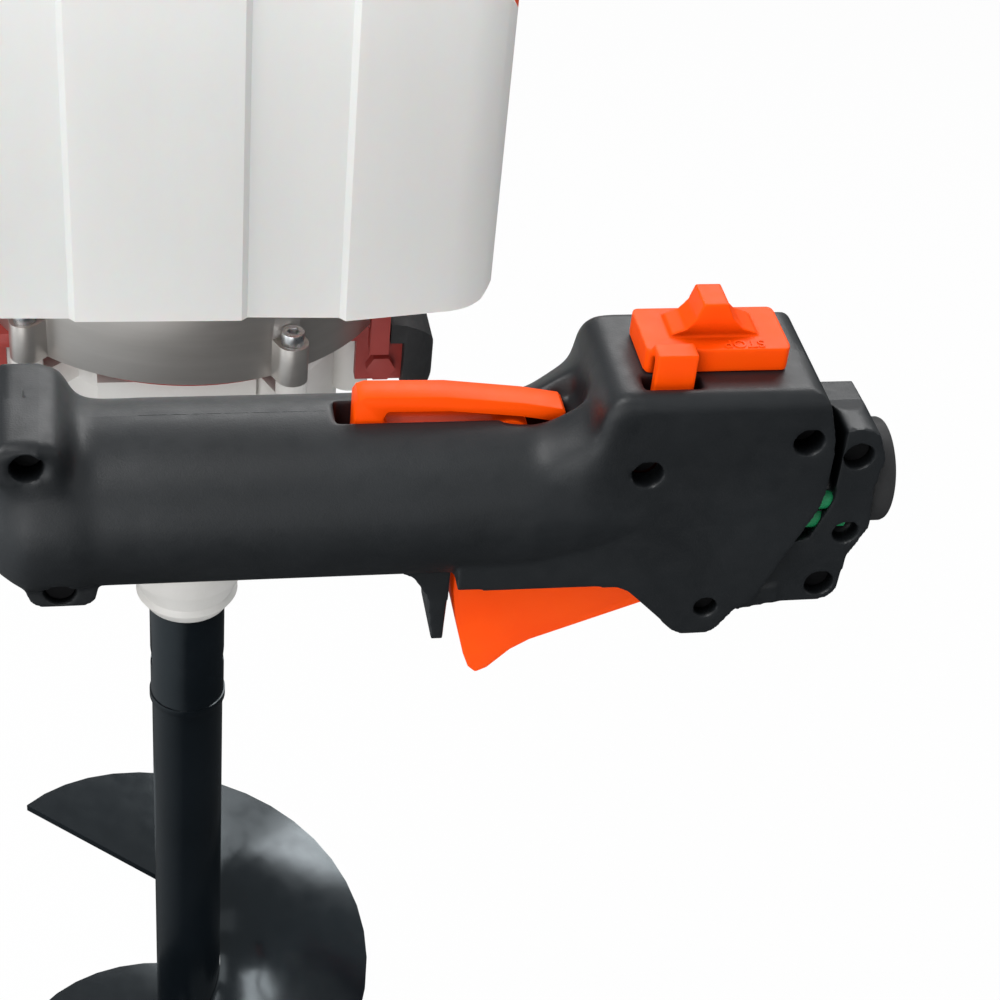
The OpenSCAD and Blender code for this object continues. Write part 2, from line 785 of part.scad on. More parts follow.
filter_x = carb_x - 36;
filter_y = port_y + 4;
choke_at = [filter_x - 8, filter_y + filter_w / 2, crank_mid + 6];
module choke_lever() {
    color(gloss_black) translate(choke_at) {
        along_y(-3, 9, 3);
        along_y(1, 9, 6.5);
        translate([0, 3, 0]) through_y(0, 6) polygon([[-3.5, 0], [-3.5, 20], [3.5, 20], [3.5, 0]]);
        translate([0, 0, 20]) along_y(3, 9, 3.5);
    }
}

module filter_base() {
    color(gloss_black) difference() {
        translate([filter_x - 16, filter_y, crank_mid]) through_x(0, 15.9)
            round_rect(-filter_w / 2, filter_w / 2, -filter_h / 2, filter_h / 2, 9);
        translate([filter_x - 17, filter_y, crank_mid]) through_x(0, 13)
            round_rect(-filter_w / 2 + 3, filter_w / 2 - 3, -filter_h / 2 + 3, filter_h / 2 - 3, 7);
        translate([0, port_y, crank_mid]) along_x(filter_x - 10, filter_x + 1, 8.5);
        translate(choke_at) along_y(-9, 1, 3 + fit_gap);
    }
}

module filter_cover() {
    back = filter_x - 16.1;
    color(gloss_black) difference() {
        translate([back - filter_d, filter_y, crank_mid]) through_x(0, filter_d)
            round_rect(-filter_w / 2, filter_w / 2, -filter_h / 2, filter_h / 2, 9);
        translate([back - filter_d + 4, filter_y, crank_mid]) through_x(0, filter_d)
            round_rect(-filter_w / 2 + 4, filter_w / 2 - 4, -filter_h / 2 + 4, filter_h / 2 - 4, 7);
        for (k = [-3 : 3]) translate([back - filter_d - 1, filter_y, crank_mid + 8 * k])
            through_x(0, 6) round_rect(-24, 24, -1.6, 1.6, 1.2);
    }
}

bulb_at = [carb_x - 24, port_y, crank_mid - 21];
module primer_bulb() {
    color(tank_white) translate(bulb_at) {
        up(-4, 0.4, 11);
        translate([0, 0, -4]) intersection() {
            sphere(10);
            up(-11, 0, 12);
        }
    }
}

hood_y0 = -38;
hood_y1 = fin_end + 40;
hood_side = crank_mid - 10.5;
hood_t = 3;
module hood_outline(e) {
    round_rect(-hood_x + e, hood_x - e, hood_y0 + e, hood_y1 - e, 16 - e);
}

module engine_hood() {
    color(signal_orange) difference() {
        union() {
            through_z(hood_top - 24, hood_top) hood_outline(0);
            intersection() {
                through_z(hood_side, hood_top) hood_outline(0);
                box(-hood_x, hood_x, hood_y0 - 1, 30, hood_side, hood_top);
            }
        }
        difference() {
            through_z(hood_side - 1, hood_top - hood_t) hood_outline(hood_t);
            for (x = [-26, 26]) translate([x, 0, 0]) up(crank_top, hood_top, 6);
        }
        box(-34, 34, hood_y0 - 1, hood_y0 + 6, hood_side - 1, crank_top + 1);
        up(hood_top - 10, hood_top + 1, 22);
        for (k = [-3 : 3]) box(-58 + 14 * k + 52, -52 + 14 * k + 52, fin_y0, fin_end + 8, hood_top - 6, hood_top + 1);
        for (x = [-1, 1])
            for (k = [0 : 3]) box(x * hood_x - 6, x * hood_x + 6, -22 + 12 * k, -16 + 12 * k, hood_side + 9, crank_mid + 28);
        for (x = [-26, 26]) translate([x, 0, 0]) up(crank_top - 1, hood_top + 1, screw_r + 0.3);
        starter_spots() up(hood_top - 4, hood_top + 1, screw_r + 0.2);
    }
}

module hood_screws() {
    color(zinc) for (x = [-26, 26]) translate([x, 0, 0]) {
        up(crank_top + 0.1, hood_top + 0.05, screw_r);
        up(hood_top, hood_top + 2.6, 4);
    }
    color(zinc) starter_spots() {
        up(hood_top - 6, hood_top + 5.05, screw_r);
        up(hood_top + 5, hood_top + 7.6, 4);
    }
}

starter_r = 54;
reel_r = 34;
rope_z = hood_top + 13;
starter_lugs = [20, 140, 250];
module starter_spots() {
    for (a = starter_lugs) rotate(a) translate([starter_r + 4, 0, 0]) children();
}

module starter_housing() {
    color(gloss_black) difference() {
        union() {
            up(hood_top, starter_top - 8, starter_r);
            translate([0, 0, starter_top - 8]) cylinder(h = 8, r1 = starter_r, r2 = starter_r - 9);
            translate([0, -reel_r, rope_z]) along_x(-starter_r - 4, 0, 8);
            starter_spots() up(hood_top, hood_top + 5, 6);
            for (a = starter_lugs) rotate(a) box(starter_r - 2, starter_r + 4, -6, 6, hood_top, hood_top + 5);
        }
        up(hood_top - 1, starter_top - 8, starter_r - 3);
        up(hood_top - 1, starter_top - 3, 30);
        for (k = [0 : 11]) rotate(30 * k + 15) box(34, 47, -2.5, 2.5, starter_top - 10, starter_top + 1);
        translate([0, -reel_r, rope_z]) along_x(-starter_r - 5, 0, 2.6);
        starter_spots() up(hood_top - 1, hood_top + 6, screw_r + 0.2);
    }
    color(gloss_black) up(starter_top - 20, starter_top - 2.5, 5);
}

module starter_reel() {
    color(tank_white) difference() {
        union() {
            up(rope_z - 5, rope_z + 5, reel_r - 2.2);
            up(rope_z - 7, rope_z - 4, reel_r + 5);
            up(rope_z + 4, rope_z + 7, reel_r + 5);
        }
        up(rope_z - 9, rope_z + 9, 5.3);
        up(rope_z - 9, rope_z - 2, 22);
    }
}

module starter_grip() {
    color(gloss_black) translate([-starter_r - 4.3, -reel_r, rope_z]) {
        through_y(-16, 16) round_rect(-11, 0, -6.5, 6.5, 3);
        along_x(-15, -8, 5);
        along_x(-8, 52, 1.75);
    }
}

// fuel tank

// places across the tank front where its panels step in and out
front_steps = [-34, 10, 38];
step_w = 1.6;
function tank_plan(e, f) = [[-tank_x + e, tank_back - e], [-tank_x + e, tank_front + 7 + f],
    [-tank_x + 3.5 + e, tank_front + 3.2 + f], [front_steps[0] - step_w, tank_front + 2 + f],
    [front_steps[0], tank_front + 0.3 + f], [front_steps[1], tank_front - 0.4 + f],
    [front_steps[1] + step_w, tank_front + 1.2 + f], [front_steps[2] - step_w, tank_front + 0.2 + f],
    [front_steps[2], tank_front - 1.5 + f], [tank_x - 12 - e, tank_front + 2.6 + f],
    [tank_x - 4 - e, tank_front + 4.8 + f], [tank_x - 1 - e, tank_front + 8 + f], [tank_x - e, tank_front + 13 + f],
    [tank_x - e, tank_back - e]];
module tank_solid(e) {
    intersection() {
        through_y(tank_front - 3, tank_back + 1)
            round_rect(-tank_x + e, tank_x - e, tank_z + e, tank_z + tank_h - e, 11 - e);
        through_z(tank_z - 1, tank_z + tank_h + 1) polygon(tank_plan(e, e));
    }
}

neck_at = [-42, tank_back - tank_d / 2, tank_z + tank_h];
module fuel_tank() {
    color(tank_white) difference() {
        union() {
            difference() {
                tank_solid(0);
                tank_solid(tank_wall);
            }
            for (x = [-22, 22]) translate([x, -78, 0]) up(tank_z, tank_z + 12, 6);
            translate(neck_at) up(-1, 8, 15);
        }
        translate(neck_at) up(-tank_wall - 1, 9, 12);
        for (x = [-22, 22]) translate([x, -78, 0]) up(tank_z - 1, tank_z + 9, screw_r - 0.2);
    }
}

module tank_cap() {
    color(gloss_black) translate(neck_at) difference() {
        union() {
            up(1, 20, 21);
            for (k = [0 : 11]) rotate(30 * k) translate([21, 0, 0]) up(2, 18, 2.5);
        }
        up(0, 16, 15.4);
    }
}

module tank_bracket() {
    low = tank_z - bracket_t;
    color(gloss_black) difference() {
        union() {
            box(-30, 30, tank_back + 0.05, pad_y - 0.05, low, crank_mid + 18);
            box(-30, 30, -90, pad_y - 0.05, low, tank_z - 0.05);
        }
        for (x = [-22, 22]) translate([x, -78, 0]) up(low - 1, tank_z + 1, screw_r + 0.2);
    }
}

module tank_screws() {
    low = tank_z - bracket_t;
    color(zinc) for (x = [-22, 22]) translate([x, -78, 0]) {
        up(low - 0.05, tank_z + 8, screw_r - 0.3);
        up(low - 3, low, 4);
    }
}

// frame

bar_x = -bar_back;
grip_tube_end = 12;
left_tube_end = 92;
module bar_path(r, over) {
    translate([0, hy, 0]) along_x(bar_x + bend_r, grip_tube_end + over, r);
    translate([0, -hy, 0]) along_x(bar_x + bend_r, left_tube_end + over, r);
    translate([bar_x, 0, 0]) along_y(hy + bend_r, -hy - bend_r, r);
    translate([bar_x + bend_r, hy + bend_r, 0]) rotate(180) rotate_extrude(angle = 90) translate([bend_r, 0]) circle(r);
    translate([bar_x + bend_r, -hy - bend_r, 0]) rotate(90) rotate_extrude(angle = 90) translate([bend_r, 0]) circle(r);
}

riser_foot = [-112, 25, zc + 3];
riser_head = [bar_x, 70, 0];
module riser(side) {
    run = [riser_head[0] - riser_foot[0], side * (riser_head[1] - riser_foot[1]), riser_head[2] - riser_foot[2]];
    long = norm(run);
    translate([riser_foot[0], side * riser_foot[1], riser_foot[2]])
        rotate([0, acos(run[2] / long), atan2(run[1], run[0])]) cylinder(h = long, r = tube_r - 2);
}

foot_x0 = -134;
foot_x1 = -86;
module frame_bolt_spots() {
    for (x = [foot_x0 + 8, foot_x1 - 7])
        for (y = [-9, 9])
            translate([x, y, 0]) children();
}

module handle_frame() {
    color(gloss_black) difference() {
        union() {
            bar_path(tube_r, 0);
            difference() {
                union() {
                    riser(1);
                    riser(-1);
                }
                box(-200, 0, -100, 100, zc - 40, zc);
            }
            box(foot_x0, foot_x1, -beam_y + 1, beam_y - 1, zc, zc + 6);
        }
        bar_path(tube_r - tube_wall, 1);
        frame_bolt_spots() up(zc - 1, zc + 7, bolt_r + 0.2);
    }
}

module frame_bolts() {
    color(zinc) frame_bolt_spots() {
        up(zg - 6, zc + 6.05, bolt_r);
        translate([0, 0, zc + 6]) cylinder(h = 4.5, r = 5.5, $fn = 6);
        translate([0, 0, zg - 5]) cylinder(h = 5, r = 5.5, $fn = 6);
    }
}

beam_x0 = -136;
beam_x1 = case_r + 1;
lip_x = beam_x1 - 14.6;
lip_t = 4;
ear_t = 3;
module carrier_beam() {
    color(frame_red) difference() {
        union() {
            box(beam_x0, beam_x1, -beam_y, beam_y, zg, zc);
            up(zg, zc, case_r - 6.5);
            for (x = [[beam_x0, -56], [lip_x, beam_x1]])
                for (y = [-beam_y, beam_y - lip_t]) box(x[0], x[1], y, y + lip_t, zc - lip_h, zc);
            // upright ear and welded stud on each side of the front end
            for (turn = [0, 1]) mirror([0, turn, 0]) {
                box(beam_x1 - 11, beam_x1 - 5, -beam_y - 5, -beam_y + 1, zc - 7, zc - 0.2);
                box(beam_x1 - 11, beam_x1 - 5, -beam_y - 5, -beam_y - 5 + ear_t, zc - 7, zc + 14);
                translate([beam_x1 - 7, -beam_y + 1, zc - 13.5]) rotate([90, 0, 0]) cylinder(h = 4.5, r = 4.6, $fn = 6);
            }
        }
        up(zg - 1, zc + 1, 42 + fit_gap);
        lid_bolt_spots() up(zg - 1, zc + 1, 5.4);
        flange_spots() up(zg - 1, zc + 1, flange_boss_r + 0.4);
        frame_bolt_spots() up(zg - 1, zc + 1, bolt_r + 0.2);
    }
}

module beam_cap() {
    rise = 3.5;
    over = beam_x1 - 4.5;
    out = beam_x1 + 10.7;
    wide = beam_y + 4;
    color(gloss_black) difference() {
        intersection() {
            through_z(zc - lip_h - 2, zc + rise) round_rect(over - 20, out, -wide, wide, 10);
            through_y(-wide - 1, wide + 1) polygon(rounded([[over, zc + rise, 0], [out, zc + rise, 14],
                [out, zc - lip_h - 2, 4], [beam_x1 + fit_gap, zc - lip_h - 2, 0], [beam_x1 + fit_gap, zc - rise, 0],
                [over, zc - rise, 0]]));
        }
        box(over - 30, beam_x1 + fit_gap, -beam_y - fit_gap, beam_y + fit_gap, zc - lip_h - 9, zc + fit_gap);
        up(zc - 9, zc + 9, case_r + 0.5);
    }
}

module left_grip() {
    groove_w = 3;
    color(gloss_black) translate([0, -hy, 0]) difference() {
        union() {
            along_x(-36, left_tube_end + 5, left_grip_r);
            along_x(-36, -31, left_grip_r + 5);
        }
        along_x(-40, left_tube_end + fit_gap, tube_r + fit_gap);
        for (k = [0 : 8]) difference() {
            along_x(-20 + 12 * k, -20 + 12 * k + groove_w, left_grip_r + 1);
            along_x(-21 + 12 * k, -19 + 12 * k + groove_w, left_grip_r - 0.8);
        }
    }
}

// throttle handle, in its own frame: X along the grip, origin on the grip axis

trigger_pivot = [98.6, -23.7];
lever_pivot = [54.5, 13.4];
end_x0 = block_front + 2.5;
end_x1 = block_front + 12.8;
screw_spots = [[-42, 18.5], [-37, -15.6], [81, 12.8], [block_front - 6, 19.8], [block_front + 6.6, 13.9],
    [block_front + 4.2, -20.3]];
blind_spot = [block_front + 7.6, -6.3];
lead_y = -10.8;
lead_heights = [1, -3.9];
lead_r = 2.4;

module block_profile() {
    polygon(rounded([[67, 0, 0], [67, 12, 0], [69.6, 18, 0], [70.4, block_top, 6],
        [block_front - 3.6, block_top, 5], [block_front, 19, 14], [block_front, 3.5, 12], [block_front - 10.9, -22.2, 2.5],
        [105, -25.2, 3], [101.2, -31.4, 5], [93.2, -31.4, 6], [79.6, -17.1, 8], [44, -16.4, 0], [44, 0, 0]]));
}

// foot of the block that runs out on the grip, narrower than both
module foot_profile() {
    polygon(rounded([[54, 6, 0], [54, 13, 0], [61, 14.4, 0], [69.6, 16.2, 7], [70.4, 27, 0], [78, 27, 0], [78, 6, 0]]));
}

module end_profile() {
    polygon(rounded([[end_x0, 21, 1.5], [end_x1 - 3, 21, 4.5], [end_x1, 13, 4], [end_x1 - 1, 5, 6], [end_x1, -5, 4],
        [end_x1 - 3.6, -13, 3], [end_x1 - 4.2, -24.9, 4], [block_front - 7, -25.4, 1.5], [block_front - 10.5, -18.5, 0],
        [block_front - 5.6, -8.6, 0], [block_front - 0.6, -7.6, 1], [end_x0 + 0.6, 2.5, 5]]));
}

module handle_outer() {
    along_x(-29, 58.1, grip_r);
    translate([58, 0, 0]) rotate([0, 90, 0]) cylinder(h = 28, r1 = grip_r, r2 = grip_r - 3);
    // clamp ring with its tapered end
    rotate([0, 90, 0]) rotate_extrude() polygon([[0, -50], [grip_r - 4, -50], [grip_r - 1, -46], [grip_r + 0.6, -43.5],
        [grip_r + 0.6, -33.5], [grip_r, -30.5], [grip_r - 1, -28.5], [0, -28.5]]);
    // clamp boss above the tube, its foot on the grip, and clamp lug under the tube
    intersection() {
        through_y(-block_y + 0.1, 14) polygon(rounded([[-48, -4, 0], [-48, 23.8, 3], [-34.8, 23.8, 3.5], [-33.6, 9, 0], [-36, -4, 0]]));
        through_x(-60, -20) round_rect(-block_y + 0.1, 14, -30, 23.8, 3);
    }
    through_y(-11, 12) polygon(rounded([[-37, 6, 0], [-37, 21, 0], [-34, 20.6, 0], [-32.8, 16.4, 5], [-24, 14, 0], [-24, 6, 0]]));
    through_y(-block_y + 4, block_y - 4)
        polygon(rounded([[-45.5, -7, 0], [-29.5, -7, 0], [-29.5, -19.8, 3.5], [-43, -19.8, 4]]));
    // switch block, cable clamp and trigger stop
    intersection() {
        through_y(-40, 40) block_profile();
        through_x(20, 140) round_rect(-block_y, block_y, -60, block_top, 3.5);
    }
    through_y(-12, 12) foot_profile();
    along_x(block_front - 4, end_x1, 12.2);
    through_y(-block_y + 2.5, block_y - 2.5) end_profile();
    through_y(-8, 8) polygon([[31, -10], [31, -17], [36, -19.5], [39.4, -25], [41, -37], [43.6, -37.2], [44, -26], [44, -10]]);
}

module handle_hollow() {
    along_x(-60, grip_tube_end + fit_gap, tube_r + fit_gap);
    box(grip_tube_end + 4, block_front - 10, -10, 10, -12, 11.5);
    box(76, block_front - 10, -11, 11, -12, 27);
    // lever slot, trigger slot and stop switch slots
    box(18.5, 66.5, -lever_y - 0.5, lever_y + 0.5, 0, 24);
    box(44.6, trigger_pivot[0], -trigger_y - 0.6, trigger_y + 0.6, -60, 0);
    through_y(-trigger_y - 0.6, trigger_y + 0.6) translate([trigger_pivot[0], trigger_pivot[1]]) circle(6.4);
    box(78.7, 90.8, -12.9, -8.2, 24, 40);
    box(86, 106, -4, 4, 20, 40);
    along_x(block_front - 11, end_x1 + 1, 8);
    for (z = lead_heights) translate([0, lead_y, z]) along_x(block_front - 6, end_x0 + 5, lead_r + 0.1);
    // screws from the front
    for (s = screw_spots) translate([s[0], 0, s[1]]) {
        along_y(-40, 40, screw_r + 0.05);
        along_y(-40, -9, 3.2);
    }
    translate([blind_spot[0], 0, blind_spot[1]]) along_y(-40, -block_y + 6.5, 2.8);
    translate([trigger_pivot[0], 0, trigger_pivot[1]]) along_y(-40, 40, 2.5);
    translate([lever_pivot[0], 0, lever_pivot[1]]) along_y(-9, 9, 2);
}

module handle_half(side) {
    color(handle_grey) translate([0, hy, 0]) difference() {
        intersection() {
            handle_outer();
            box(-80, 200, side < 0 ? -60 : 0, side < 0 ? 0 : 60, -80, 80);
        }
        handle_hollow();
    }
}

module handle_front() {
    handle_half(-1);
}

module handle_rear() {
    handle_half(1);
}

module handle_screws() {
    color(zinc) translate([0, hy, 0]) for (s = screw_spots) translate([s[0], 0, s[1]]) {
        along_y(-9.05, 9, screw_r);
        along_y(-11, -9.02, 3);
    }
}

module throttle_trigger() {
    px = trigger_pivot[0];
    pz = trigger_pivot[1];
    color(signal_orange) translate([0, hy, 0]) difference() {
        through_y(-trigger_y, trigger_y) {
            polygon([[45.3, -17], [45.3, -25.6], [46.4, -33.7], [49, -44.1], [50.4, -48], [52.1, -49.7],
                [54.7, -48.4], [59.5, -43.3], [64, -40.4], [70.2, -38], [87.5, -31], [px - 1, pz - 5.9], [px, pz + 5.9],
                [80, -14], [60, -14], [47, -15.5]]);
            translate([px, pz]) circle(6);
        }
        translate([px, 0, pz]) along_y(-10, 10, 2.55);
    }
}

module safety_lever() {
    px = lever_pivot[0];
    pz = lever_pivot[1];
    color(signal_orange) translate([0, hy, 0]) difference() {
        union() {
            through_y(-lever_y, lever_y)
                polygon([[22.3, 6], [22.3, 22.4], [23, 23.6], [24.6, 24.2], [40.9, 23.9], [57, 21.9], [65, 20.3], [65.8, 19.4],
                    [65.6, 17.6], [64.6, 16.9], [56, 18.6], [42, 20.2], [29, 20.4], [28.2, 18.6], [29, 16.6],
                    [px, pz + 2.8], [px + 1, pz], [px, pz - 2.8], [29, 10.4], [27, 6]]);
            translate([px, 0, pz]) along_y(-lever_y, lever_y, 4.3);
        }
        translate([px, 0, pz]) along_y(-10, 10, 2.05);
    }
}

module lever_pins() {
    color(zinc) translate([0, hy, 0]) {
        translate([trigger_pivot[0], 0, trigger_pivot[1]]) along_y(-block_y + 3, block_y - 3, 2.5 - fit_gap / 5);
        translate([lever_pivot[0], 0, lever_pivot[1]]) along_y(-8.9, 8.9, 2 - fit_gap / 5);
    }
}

module stop_switch() {
    z0 = block_top + run_gap;
    top = z0 + switch_t;
    color(signal_orange) translate([0, hy, 0]) {
        through_z(z0, top) round_rect(79.5, 109.5, -7.9, 7.9, 1.5);
        // thumb knob with hollow flanks, set towards the engine side
        through_y(-3, 5) polygon([[85.4, top - 0.5], [85.4, top + 0.6], [88.4, top + 1.8], [90.2, top + 4],
            [91.3, top + 7.6], [96.5, top + 7.6], [98, top + 4], [100.2, top + 1.8], [103.4, top + 0.6],
            [103.4, top - 0.5]]);
        box(80.8, 89.2, -11.6, -7, top - 1, top + 1.2);
        box(80.8, 89.2, -11.6, -9, z0 - 6, top);
        box(88, 101, -3, 3, z0 - 8, z0 + 1);
    }
}

// green leads of the stop switch, seen in the groove between block and clamp
module switch_leads() {
    color([0.1, 0.5, 0.2]) translate([0, hy, 0]) for (z = lead_heights)
        translate([0, lead_y, z]) along_x(block_front - 5.8, end_x0 + 4.8, lead_r);
}

module cable_gland() {
    color(gloss_black) translate([0, hy, 0]) difference() {
        union() {
            along_x(end_x1 - 3, end_x1 + 1, 8 - fit_gap);
            along_x(end_x1 + fit_gap, end_x1 + 5.2, 11.3);
        }
        along_x(block_front, end_x1 + 14, 3);
    }
}

auger_flight();
auger_tube();
auger_collar();
drive_pin();
pilot_point();
cutting_blades();
blade_bolts();
output_shaft();
output_wheel();
countershaft();
gearbox_housing();
gearbox_lid();
gearbox_bolts();
gearbox_bearings();
oil_seal();
clutch_drum();
clutch_case();
case_bolts();
clutch_hub();
shoe_front();
shoe_back();
flywheel();
fan_cover();
crankshaft();
crankcase();
crank_bearings();
engine_barrel();
cylinder_bolts();
spark_plug();
plug_cap();
ignition_coil();
muffler();
carburettor();
choke_lever();
filter_base();
filter_cover();
primer_bulb();
engine_hood();
hood_screws();
starter_housing();
starter_reel();
starter_grip();
fuel_tank();
tank_cap();
tank_bracket();
tank_screws();
handle_frame();
frame_bolts();
carrier_beam();
beam_cap();
left_grip();
handle_front();
handle_rear();
handle_screws();
throttle_trigger();
safety_lever();
lever_pins();
stop_switch();
switch_leads();
cable_gland();
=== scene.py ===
"""Looks of the earth auger: materials, rounded edges, small trim, studio light and camera.

Metres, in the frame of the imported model: X away from the operator, Y to the operator's left, Z up.
"""

import json
import math

import bpy
from mathutils import Matrix, Vector


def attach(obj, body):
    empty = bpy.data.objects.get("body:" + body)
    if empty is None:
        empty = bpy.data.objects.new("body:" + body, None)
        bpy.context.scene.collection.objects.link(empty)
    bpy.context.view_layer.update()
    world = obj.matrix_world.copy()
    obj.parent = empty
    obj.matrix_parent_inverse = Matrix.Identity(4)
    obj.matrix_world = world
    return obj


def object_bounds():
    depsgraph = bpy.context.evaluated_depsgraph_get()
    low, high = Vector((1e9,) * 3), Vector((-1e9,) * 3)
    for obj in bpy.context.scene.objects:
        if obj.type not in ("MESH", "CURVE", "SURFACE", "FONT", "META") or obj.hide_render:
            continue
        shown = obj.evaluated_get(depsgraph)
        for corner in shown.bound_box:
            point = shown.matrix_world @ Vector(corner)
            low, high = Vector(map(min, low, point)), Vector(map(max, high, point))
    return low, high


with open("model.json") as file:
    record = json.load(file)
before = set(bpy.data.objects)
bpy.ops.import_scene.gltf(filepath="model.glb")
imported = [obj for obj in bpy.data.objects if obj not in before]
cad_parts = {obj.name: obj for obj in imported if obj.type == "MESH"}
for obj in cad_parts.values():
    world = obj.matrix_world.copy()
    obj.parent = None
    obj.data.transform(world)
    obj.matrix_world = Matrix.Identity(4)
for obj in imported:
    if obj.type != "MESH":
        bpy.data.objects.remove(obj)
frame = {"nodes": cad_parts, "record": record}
nodes = frame["nodes"]
cad_box = [list(corner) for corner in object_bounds()]

MM = 0.001
GRIP_Y = -239.0  # seam of the throttle handle, in mm


# materials


def add(tree, kind, values=None, **settings):
    """A new node with its settings and the values of its sockets."""
    made = tree.nodes.new(kind)
    for key, value in settings.items():
        setattr(made, key, value)
    for socket, value in (values or {}).items():
        made.inputs[socket].default_value = value
    return made


def noise(tree, scale, detail=4.0, stretch=(1, 1, 1), rough=0.55):
    """Noise in the object's own coordinates; scale is in lumps per metre."""
    where = add(tree, "ShaderNodeTexCoord")
    mapped = add(tree, "ShaderNodeMapping", {"Scale": stretch})
    made = add(
        tree,
        "ShaderNodeTexNoise",
        {"Scale": scale, "Detail": detail, "Roughness": rough},
    )
    tree.links.new(where.outputs["Object"], mapped.inputs["Vector"])
    tree.links.new(mapped.outputs["Vector"], made.inputs["Vector"])
    return made.outputs["Fac"]


def tones(tree, factor, stops):
    """Two colours along a factor from 0 to 1."""
    made = add(tree, "ShaderNodeValToRGB")
    for element, (place, colour) in zip(made.color_ramp.elements, stops):
        element.position = place
        element.color = (*colour, 1)
    tree.links.new(factor, made.inputs["Fac"])
    return made.outputs["Color"]


def spread(tree, factor, low, high):
    """A factor from 0 to 1 as a number from low to high."""
    made = add(
        tree,
        "ShaderNodeMapRange",
        {"From Min": 0.25, "From Max": 0.75, "To Min": low, "To Max": high},
    )
    tree.links.new(factor, made.inputs["Value"])
    return made.outputs["Result"]


def bumps(tree, layers):
    """Bump layers, each a factor with its height in metres, one on top of the other."""
    last = None
    for factor, height in layers:
        made = add(tree, "ShaderNodeBump", {"Strength": 1.0, "Distance": height})
        tree.links.new(factor, made.inputs["Height"])
        if last is not None:
            tree.links.new(last, made.inputs["Normal"])
        last = made.outputs["Normal"]
    return last


def painted_hollow_shade(tree, shader, colour, reach, shut_at, specular):
    """Painted shade: the colour, darker where the piece itself shuts out the light, with less shine
    there.
    """
    shut = add(tree, "ShaderNodeAmbientOcclusion", {"Distance": reach}, samples=6, only_local=True)
    open_part = add(
        tree,
        "ShaderNodeMapRange",
        {"From Min": shut_at, "From Max": shut_at + 0.5, "To Min": 0.08, "To Max": 1.0},
    )
    mix = add(tree, "ShaderNodeMix", data_type="RGBA", blend_type="MULTIPLY")
    mix.inputs["Factor"].default_value = 1.0
    shine = add(tree, "ShaderNodeMath", {1: specular}, operation="MULTIPLY")
    tree.links.new(shut.outputs["AO"], open_part.inputs["Value"])
    tree.links.new(colour, mix.inputs[6])
    tree.links.new(open_part.outputs["Result"], mix.inputs[7])
    tree.links.new(open_part.outputs["Result"], shine.inputs[0])
    tree.links.new(shine.outputs[0], shader.inputs["Specular IOR Level"])
    return mix.outputs[2]


def surface(
    name,
    stops,
    rough,
    patch=25.0,
    grain=((900.0, 0.02),),
    metallic=0.0,
    stretch=(1, 1, 1),
    painted_shade_reach=0.0,
    shut_at=0.25,
    **fixed,
):
    """A finish: colours and roughness that drift over the surface, with bump grains.

    A grain is a scale and a height in mm. With a reach in mm for painted shade, holes and grooves
    are painted darker than the rest, and darkest where the open share is shut_at.
    """
    mat = bpy.data.materials.new(name)
    mat.use_nodes = True
    tree = mat.node_tree
    shader = tree.nodes["Principled BSDF"]
    drift = noise(tree, patch, 5.0, stretch)
    colour = tones(tree, drift, stops)
    if painted_shade_reach:
        specular = fixed.pop("Specular_IOR_Level", 0.5)
        colour = painted_hollow_shade(tree, shader, colour, painted_shade_reach * MM, shut_at, specular)
    tree.links.new(colour, shader.inputs["Base Color"])
    fine = noise(tree, patch * 6, 3.0, stretch)
    tree.links.new(spread(tree, fine, *rough), shader.inputs["Roughness"])
    layers = [(noise(tree, scale, 3.0, stretch), height * MM) for scale, height in grain]
    tree.links.new(bumps(tree, layers), shader.inputs["Normal"])
    shader.inputs["Metallic"].default_value = metallic
    for socket, value in fixed.items():
        shader.inputs[socket.replace("_", " ")].default_value = value
    return mat


def two_tone(a, b):
    """Stops of two close colours for tones."""
    return [(0.35, a), (0.65, b)]


handle_plastic = surface(
    "handle_plastic",
    two_tone((0.0078, 0.0095, 0.0112), (0.0118, 0.014, 0.0162)),
    (0.4, 0.52),
    patch=40,
    grain=((2600.0, 0.035), (700.0, 0.02)),
    # painted shade: holes, grooves and creases of the handle are darker, as if shut from the light
    painted_shade_reach=7.0,
)
signal_orange = surface(
    "signal_orange",
    two_tone((0.98, 0.074, 0.001), (1.0, 0.088, 0.0016)),
    (0.32, 0.42),
    patch=60,
    grain=((1500.0, 0.006),),
    # painted shade: gaps and hollows of the orange pieces are darker, as if shut from the light
    painted_shade_reach=5.0,
    shut_at=0.42,
    Specular_IOR_Level=0.1,
    # painted light: the orange glows faintly of itself, though it is no lamp, so it stays bright in
    # shade
    Emission_Color=(1.0, 0.06, 0.001, 1.0),
    Emission_Strength=0.12,
)
hood_orange = surface(
    "hood_orange",
    two_tone((0.96, 0.066, 0.004), (0.99, 0.082, 0.006)),
    (0.28, 0.4),
    patch=30,
    grain=((1500.0, 0.008),),
)
tank_plastic = surface(
    "tank_plastic",
    two_tone((0.785, 0.775, 0.755), (0.83, 0.82, 0.8)),
    (0.34, 0.48),
    patch=16,
    grain=((900.0, 0.01), (120.0, 0.03)),
    stretch=(1, 1, 0.3),
    Subsurface_Weight=0.2,
    Subsurface_Scale=0.006,
)
cast_aluminium = surface(
    "cast_aluminium",
    two_tone((0.5, 0.5, 0.49), (0.6, 0.6, 0.59)),
    (0.42, 0.58),
    patch=35,
    grain=((300.0, 0.04), (120.0, 0.03)),
    metallic=0.75,
    stretch=(1, 1, 8),
)
turned_case = surface(
    "turned_case",
    two_tone((0.52, 0.49, 0.46), (0.58, 0.55, 0.52)),
    (0.36, 0.44),
    patch=12,
    grain=((900.0, 0.006),),
    metallic=0.85,
    stretch=(1, 1, 12),
)
